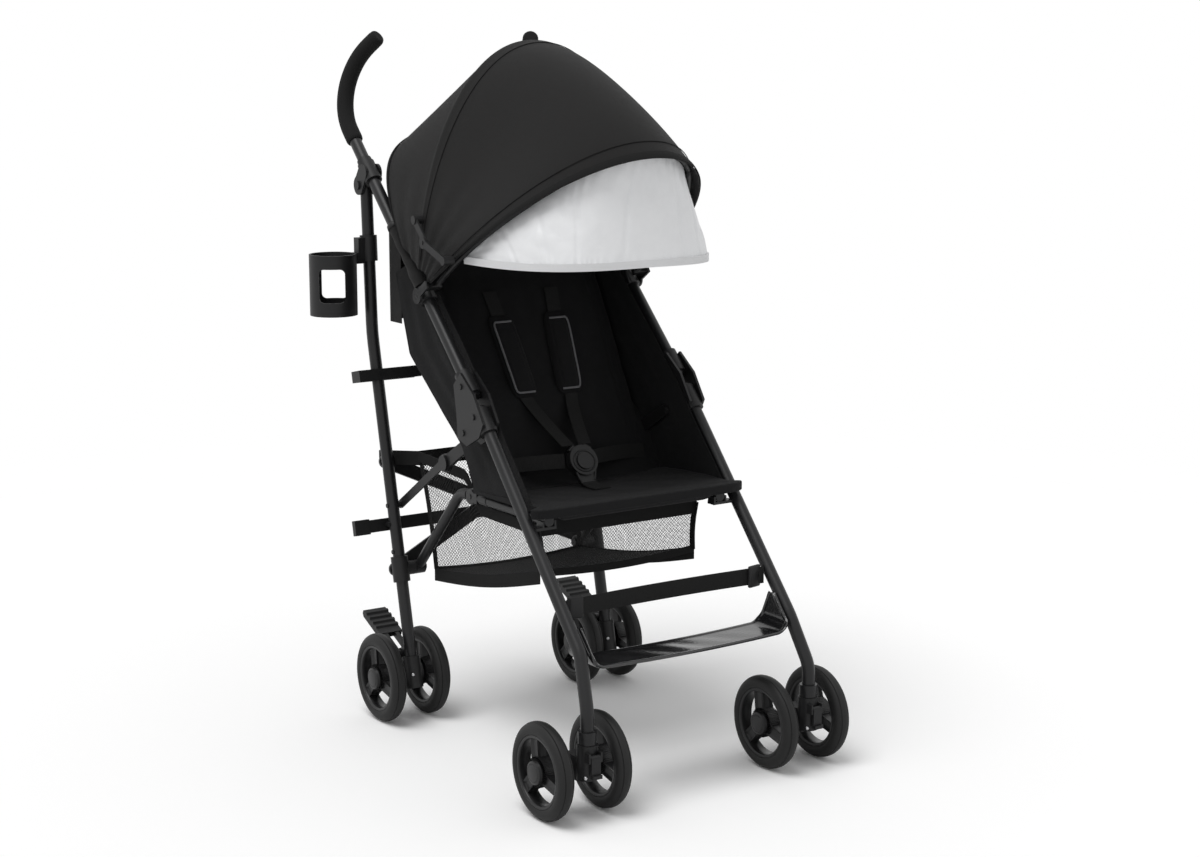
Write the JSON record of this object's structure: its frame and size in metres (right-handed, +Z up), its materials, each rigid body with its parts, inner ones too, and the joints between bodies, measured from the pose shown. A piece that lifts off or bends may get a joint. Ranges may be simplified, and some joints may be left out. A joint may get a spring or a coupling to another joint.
{
  "type": "umbrella stroller",
  "caption": "Folding umbrella stroller with hooked foam grips, canopy and visor, five-point harness seat, under-seat basket, cup holder and twin castor wheels.",
  "frame": {"origin": "on the floor under the middle of the bounding box", "axes": "+Z up, the seat faces -Y, -X is the seated child's right, where the cup holder is"},
  "size_m": [0.5426, 0.7678, 1.0773],
  "materials": {
    "frame_tube": "satin powder coat",
    "bar": "satin black",
    "plastic": "fine moulded texture",
    "foam": "closed-cell foam",
    "wheel": "moulded, low gloss",
    "cloth": "woven, matt",
    "visor": "pale coated cloth",
    "mesh": "net and binding",
    "tray": "coated sheet"
  },
  "bodies": {
    "seat": {"seat_base": "cloth", "canopy_fabric": "cloth", "canopy_rear_bow": "bar", "basket": "mesh", "footrest": "tray", "calf_strap": "cloth"},
    "backrest": {"seat_back": "cloth", "shoulder_pads": "cloth", "harness_straps": "cloth", "buckle": "plastic", "rear_curtain": "cloth"},
    "canopy_front": {"canopy_front_bow": "bar"},
    "visor": {"visor": "visor"},
    "buckle_button": {"buckle_button": "plastic"},
    "frame_l": {"push_tube_l": "frame_tube", "grip_l": "foam", "upper_bracket_l": "plastic", "knuckle_l": "plastic", "front_leg_l": "frame_tube"},
    "rear_l": {"rear_leg_l": "frame_tube", "rear_housing_l": "plastic", "cup_holder": "plastic"},
    "castor_l": {"castor_l": "plastic"},
    "swivel_lock_l": {"swivel_lock_l": "plastic"},
    "brake_pedal_l": {"brake_pedal_l": "plastic"},
    "link_tube_l": {"link_tube_l": "frame_tube"},
    "seat_rail_l": {"seat_rail_l": "frame_tube"},
    "brace_lower_l": {"brace_lower_l": "bar"},
    "brace_upper_l": {"brace_upper_l": "plastic"},
    "x_bar_l": {"x_bar_l": "bar"},
    "lock_bar_l": {"lock_bar_l": "bar"},
    "stay_upper_l": {"stay_upper_l": "plastic"},
    "stay_lower_l": {"stay_lower_l": "plastic"},
    "wheel_fl_outer": {"wheel_fl_outer": "wheel"},
    "wheel_fl_inner": {"wheel_fl_inner": "wheel"},
    "wheel_rl_outer": {"wheel_rl_outer": "wheel"},
    "wheel_rl_inner": {"wheel_rl_inner": "wheel"},
    "frame_r": {"push_tube_r": "frame_tube", "grip_r": "foam", "upper_bracket_r": "plastic", "knuckle_r": "plastic", "front_leg_r": "frame_tube"},
    "rear_r": {"rear_leg_r": "frame_tube", "rear_housing_r": "plastic"},
    "castor_r": {"castor_r": "plastic"},
    "swivel_lock_r": {"swivel_lock_r": "plastic"},
    "brake_pedal_r": {"brake_pedal_r": "plastic"},
    "link_tube_r": {"link_tube_r": "frame_tube"},
    "seat_rail_r": {"seat_rail_r": "frame_tube"},
    "brace_lower_r": {"brace_lower_r": "bar"},
    "brace_upper_r": {"brace_upper_r": "plastic"},
    "x_bar_r": {"x_bar_r": "bar"},
    "lock_bar_r": {"lock_bar_r": "bar"},
    "stay_upper_r": {"stay_upper_r": "plastic"},
    "stay_lower_r": {"stay_lower_r": "plastic"},
    "wheel_fr_outer": {"wheel_fr_outer": "wheel"},
    "wheel_fr_inner": {"wheel_fr_inner": "wheel"},
    "wheel_rr_outer": {"wheel_rr_outer": "wheel"},
    "wheel_rr_inner": {"wheel_rr_inner": "wheel"},
    "storage_latch": {"storage_latch": "plastic"}
  },
  "joints": [
    {"name": "fold", "type": "slide", "parent": "seat", "child": "frame_l", "axis": [1, 0, 0], "range_m": [0, 0.118], "deforming": ["seat_base", "canopy_fabric", "canopy_rear_bow", "basket", "footrest", "calf_strap", "seat_back", "shoulder_pads", "harness_straps", "canopy_front_bow", "visor", "rear_curtain"]},
    {"name": "rear_leg_pivot_l", "type": "hinge", "parent": "frame_l", "child": "rear_l", "pos_m": [-0.16925, 0.29211, 0.838], "axis": [-1, 0, 0], "range_deg": [0, 31]},
    {"name": "link_pivot_l", "type": "hinge", "parent": "rear_l", "child": "link_tube_l", "pos_m": [-0.13675, 0.20038, 0.24], "axis": [-1, 0, 0], "range_deg": [0, 54]},
    {"name": "rail_pivot_l", "type": "hinge", "parent": "link_tube_l", "child": "seat_rail_l", "pos_m": [-0.13675, 0.02211, 0.386], "axis": [-1, 0, 0], "range_deg": [0, 46]},
    {"name": "brace_lower_pivot_l", "type": "hinge", "parent": "rear_l", "child": "brace_lower_l", "pos_m": [-0.15425, 0.22216, 0.339], "axis": [-1, 0, 0], "range_deg": [0, 54.99]},
    {"name": "brace_upper_pivot_l", "type": "hinge", "parent": "brace_lower_l", "child": "brace_upper_l", "pos_m": [-0.14925, 0.08411, 0.428], "axis": [1, 0, 0], "range_deg": [0, 168.13]},
    {"name": "x_bar_pivot_l", "type": "hinge", "parent": "rear_l", "child": "x_bar_l", "pos_m": [-0.16925, 0.20038, 0.24], "axis": [0, -0.9767, 0.2148], "range_deg": [0, 46.5]},
    {"name": "lock_bar_pivot_l", "type": "hinge", "parent": "rear_l", "child": "lock_bar_l", "pos_m": [-0.16925, 0.21578, 0.31], "axis": [0, -0.9767, 0.2148], "range_deg": [0, 69]},
    {"name": "swivel_l", "type": "hinge", "parent": "frame_l", "child": "castor_l", "pos_m": [-0.17975, -0.35289, 0.1], "axis": [0, 0, 1], "continuous": true},
    {"name": "swivel_lock_lever_l", "type": "hinge", "parent": "castor_l", "child": "swivel_lock_l", "pos_m": [-0.17975, -0.37189, 0.097], "axis": [-1, 0, 0], "range_deg": [0, 30]},
    {"name": "spin_fl_outer", "type": "hinge", "parent": "castor_l", "child": "wheel_fl_outer", "pos_m": [-0.22725, -0.31389, 0.07], "axis": [1, 0, 0], "continuous": true},
    {"name": "spin_fl_inner", "type": "hinge", "parent": "castor_l", "child": "wheel_fl_inner", "pos_m": [-0.13225, -0.31389, 0.07], "axis": [1, 0, 0], "continuous": true},
    {"name": "spin_rl_outer", "type": "hinge", "parent": "rear_l", "child": "wheel_rl_outer", "pos_m": [-0.20825, 0.19711, 0.07], "axis": [1, 0, 0], "continuous": true},
    {"name": "spin_rl_inner", "type": "hinge", "parent": "rear_l", "child": "wheel_rl_inner", "pos_m": [-0.13025, 0.19711, 0.07], "axis": [1, 0, 0], "continuous": true},
    {"name": "brake_l", "type": "hinge", "parent": "rear_l", "child": "brake_pedal_l", "pos_m": [-0.16925, 0.19411, 0.104], "axis": [-1, 0, 0], "range_deg": [0, 25]},
    {"name": "stay_upper_pivot_l", "type": "hinge", "parent": "seat", "child": "stay_upper_l", "pos_m": [-0.18925, 0.09851, 0.79798], "axis": [1, 0, 0], "range_deg": [0, 55.41]},
    {"name": "stay_lower_pivot_l", "type": "hinge", "parent": "stay_upper_l", "child": "stay_lower_l", "pos_m": [-0.19325, 0.06649, 0.76702], "axis": [-1, 0, 0], "range_deg": [0, 103.61]},
    {"name": "fold_r", "type": "slide", "parent": "seat", "child": "frame_r", "axis": [-1, 0, 0], "range_m": [0, 0.118]},
    {"name": "rear_leg_pivot_r", "type": "hinge", "parent": "frame_r", "child": "rear_r", "pos_m": [0.19875, 0.29211, 0.838], "axis": [-1, 0, 0], "range_deg": [0, 31]},
    {"name": "link_pivot_r", "type": "hinge", "parent": "rear_r", "child": "link_tube_r", "pos_m": [0.16625, 0.20038, 0.24], "axis": [-1, 0, 0], "range_deg": [0, 54]},
    {"name": "rail_pivot_r", "type": "hinge", "parent": "link_tube_r", "child": "seat_rail_r", "pos_m": [0.16625, 0.02211, 0.386], "axis": [-1, 0, 0], "range_deg": [0, 46]},
    {"name": "brace_lower_pivot_r", "type": "hinge", "parent": "rear_r", "child": "brace_lower_r", "pos_m": [0.18375, 0.22216, 0.339], "axis": [-1, 0, 0], "range_deg": [0, 54.99]},
    {"name": "brace_upper_pivot_r", "type": "hinge", "parent": "brace_lower_r", "child": "brace_upper_r", "pos_m": [0.17875, 0.08411, 0.428], "axis": [1, 0, 0], "range_deg": [0, 168.13]},
    {"name": "x_bar_pivot_r", "type": "hinge", "parent": "rear_r", "child": "x_bar_r", "pos_m": [0.19875, 0.20038, 0.24], "axis": [0, 0.9767, -0.2148], "range_deg": [0, 46.5]},
    {"name": "lock_bar_pivot_r", "type": "hinge", "parent": "rear_r", "child": "lock_bar_r", "pos_m": [0.19875, 0.21578, 0.31], "axis": [0, 0.9767, -0.2148], "range_deg": [0, 69]},
    {"name": "swivel_r", "type": "hinge", "parent": "frame_r", "child": "castor_r", "pos_m": [0.20925, -0.35289, 0.1], "axis": [0, 0, 1], "continuous": true},
    {"name": "swivel_lock_lever_r", "type": "hinge", "parent": "castor_r", "child": "swivel_lock_r", "pos_m": [0.20925, -0.37189, 0.097], "axis": [-1, 0, 0], "range_deg": [0, 30]},
    {"name": "spin_fr_outer", "type": "hinge", "parent": "castor_r", "child": "wheel_fr_outer", "pos_m": [0.25675, -0.31389, 0.07], "axis": [1, 0, 0], "continuous": true},
    {"name": "spin_fr_inner", "type": "hinge", "parent": "castor_r", "child": "wheel_fr_inner", "pos_m": [0.16175, -0.31389, 0.07], "axis": [1, 0, 0], "continuous": true},
    {"name": "spin_rr_outer", "type": "hinge", "parent": "rear_r", "child": "wheel_rr_outer", "pos_m": [0.23775, 0.19711, 0.07], "axis": [1, 0, 0], "continuous": true},
    {"name": "spin_rr_inner", "type": "hinge", "parent": "rear_r", "child": "wheel_rr_inner", "pos_m": [0.15975, 0.19711, 0.07], "axis": [1, 0, 0], "continuous": true},
    {"name": "brake_r", "type": "hinge", "parent": "rear_r", "child": "brake_pedal_r", "pos_m": [0.19875, 0.19411, 0.104], "axis": [-1, 0, 0], "range_deg": [0, 25]},
    {"name": "stay_upper_pivot_r", "type": "hinge", "parent": "seat", "child": "stay_upper_r", "pos_m": [0.21875, 0.09851, 0.79798], "axis": [1, 0, 0], "range_deg": [0, 55.41]},
    {"name": "stay_lower_pivot_r", "type": "hinge", "parent": "stay_upper_r", "child": "stay_lower_r", "pos_m": [0.22275, 0.06649, 0.76702], "axis": [-1, 0, 0], "range_deg": [0, 103.61]},
    {"name": "latch_turn", "type": "hinge", "parent": "rear_l", "child": "storage_latch", "pos_m": [-0.16925, 0.26659, 0.541], "axis": [0, -0.9767, 0.2148], "range_deg": [0, 50]},
    {"name": "recline", "type": "hinge", "parent": "seat", "child": "backrest", "pos_m": [0.01475, 0.00611, 0.403], "axis": [-1, 0, 0], "range_deg": [0, 22]},
    {"name": "canopy_fold", "type": "hinge", "parent": "seat", "child": "canopy_front", "pos_m": [-0.18525, 0.10149, 0.68402], "axis": [-1, 0, 0], "range_deg": [0, 30]},
    {"name": "visor_flip", "type": "hinge", "parent": "canopy_front", "child": "visor", "pos_m": [0.01475, -0.22151, 0.90436], "axis": [-1, 0, 0], "range_deg": [0, 100]},
    {"name": "buckle_press", "type": "slide", "parent": "backrest", "child": "buckle_button", "axis": [0, 0.8829, -0.4695], "range_m": [0, 0.003], "stiffness_N_per_m": 300}
  ],
  "couplings": [
    {"joint": "rear_leg_pivot_l", "follows": "fold", "rad_per_m": 4.5852},
    {"joint": "link_pivot_l", "follows": "fold", "rad_per_m": 7.9871},
    {"joint": "rail_pivot_l", "follows": "fold", "rad_per_m": 6.8038},
    {"joint": "brace_lower_pivot_l", "follows": "fold", "rad_per_m": 8.1334},
    {"joint": "brace_upper_pivot_l", "follows": "fold", "rad_per_m": 24.868},
    {"joint": "x_bar_pivot_l", "follows": "fold", "rad_per_m": 6.8778},
    {"joint": "lock_bar_pivot_l", "follows": "fold", "rad_per_m": 10.206},
    {"joint": "stay_upper_pivot_l", "follows": "canopy_fold", "ratio": 1.8469},
    {"joint": "stay_lower_pivot_l", "follows": "canopy_fold", "ratio": 3.4537},
    {"joint": "fold_r", "follows": "fold", "ratio": 1},
    {"joint": "rear_leg_pivot_r", "follows": "fold", "rad_per_m": 4.5852},
    {"joint": "link_pivot_r", "follows": "fold", "rad_per_m": 7.9871},
    {"joint": "rail_pivot_r", "follows": "fold", "rad_per_m": 6.8038},
    {"joint": "brace_lower_pivot_r", "follows": "fold", "rad_per_m": 8.1334},
    {"joint": "brace_upper_pivot_r", "follows": "fold", "rad_per_m": 24.868},
    {"joint": "x_bar_pivot_r", "follows": "fold", "rad_per_m": 6.8778},
    {"joint": "lock_bar_pivot_r", "follows": "fold", "rad_per_m": 10.206},
    {"joint": "stay_upper_pivot_r", "follows": "canopy_fold", "ratio": 1.8469},
    {"joint": "stay_lower_pivot_r", "follows": "canopy_fold", "ratio": 3.4537}
  ]
}
